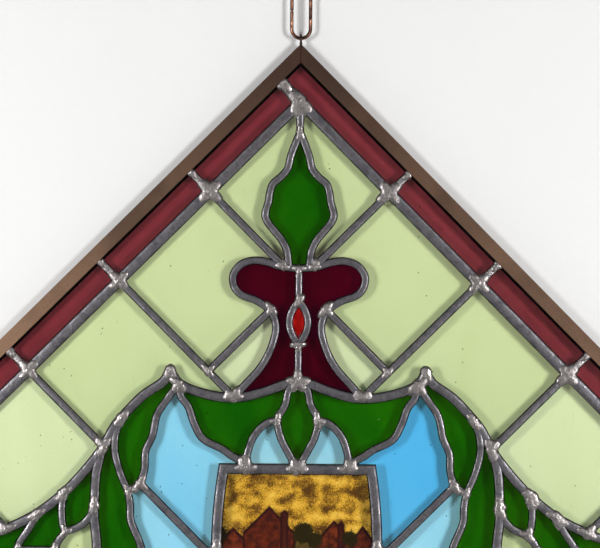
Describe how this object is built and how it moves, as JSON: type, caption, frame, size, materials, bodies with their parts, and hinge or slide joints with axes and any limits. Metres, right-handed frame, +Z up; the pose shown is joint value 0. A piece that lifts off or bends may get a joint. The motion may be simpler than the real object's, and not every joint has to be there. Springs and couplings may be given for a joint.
{
  "type": "leaded glass panel",
  "caption": "Square leaded stained-glass panel in a brass channel frame, hung by one corner from a chain, with a lattice, a leaf garland and a painted middle pane.",
  "frame": {"origin": "where a hook bears, under the top of the upper chain link", "axes": "+Z up through the top corner of the panel, front facing -Y, +X to the right seen from the front"},
  "size_m": [0.7102, 0.0156, 0.7898],
  "materials": {
    "browned_brass": "browned, semi-matt, drawn lengthwise",
    "copper_wire": "copper-coloured wire, satin",
    "lead": "grey milled lead with tin solder at the joints, semi-matt",
    "maroon_glass": "clear maroon sheet glass",
    "pale_green_glass": "clear pale green sheet glass with fine seeds",
    "deep_green_glass": "deep green sheet glass",
    "dark_red_glass": "dark red sheet glass",
    "red_glass": "bright red glass",
    "blue_glass": "clear light blue sheet glass",
    "painted_glass": "glass with fired brown and yellow paint"
  },
  "bodies": {
    "root": {"arch_leaf_left": "deep_green_glass", "arch_leaf_right": "deep_green_glass", "arch_lozenge": "deep_green_glass", "border_strip_lower_left": "maroon_glass", "border_strip_lower_right": "maroon_glass", "border_strip_upper_left": "maroon_glass", "border_strip_upper_right": "maroon_glass", "chain_link_lower": "copper_wire", "chain_link_upper": "copper_wire", "finial_flame": "deep_green_glass", "finial_gem": "red_glass", "finial_scroll_left": "dark_red_glass", "finial_scroll_right": "dark_red_glass", "forked_leaf_left": "deep_green_glass", "forked_leaf_right": "deep_green_glass", "frame_lower_left": "browned_brass", "frame_lower_right": "browned_brass", "frame_upper_left": "browned_brass", "frame_upper_right": "browned_brass", "garland_light_left": "pale_green_glass", "garland_light_right": "pale_green_glass", "hanging_eye": "copper_wire", "lead_net": "lead", "long_leaf_left": "deep_green_glass", "long_leaf_right": "deep_green_glass", "painted_picture": "painted_glass", "quarry_bottom": "pale_green_glass", "quarry_corner_left": "pale_green_glass", "quarry_corner_right": "pale_green_glass", "quarry_shoulder_left": "pale_green_glass", "quarry_shoulder_right": "pale_green_glass", "quarry_side_left": "pale_green_glass", "quarry_side_right": "pale_green_glass", "quarry_top_left": "pale_green_glass", "quarry_top_right": "pale_green_glass", "quarry_under_scroll_left": "pale_green_glass", "quarry_under_scroll_right": "pale_green_glass", "quarry_upper_left": "pale_green_glass", "quarry_upper_right": "pale_green_glass", "side_leaf_left": "deep_green_glass", "side_leaf_right": "deep_green_glass", "sky_lower_left": "blue_glass", "sky_lower_right": "blue_glass", "sky_triangle_left": "blue_glass", "sky_triangle_right": "blue_glass", "sky_upper_left": "blue_glass", "sky_upper_right": "blue_glass", "small_leaf_lower_left": "deep_green_glass", "small_leaf_lower_right": "deep_green_glass", "small_leaf_upper_left": "deep_green_glass", "small_leaf_upper_right": "deep_green_glass", "swag_leaf_left": "deep_green_glass", "swag_leaf_right": "deep_green_glass", "tip_leaf_left": "deep_green_glass", "tip_leaf_right": "deep_green_glass"}
  },
  "joints": []
}
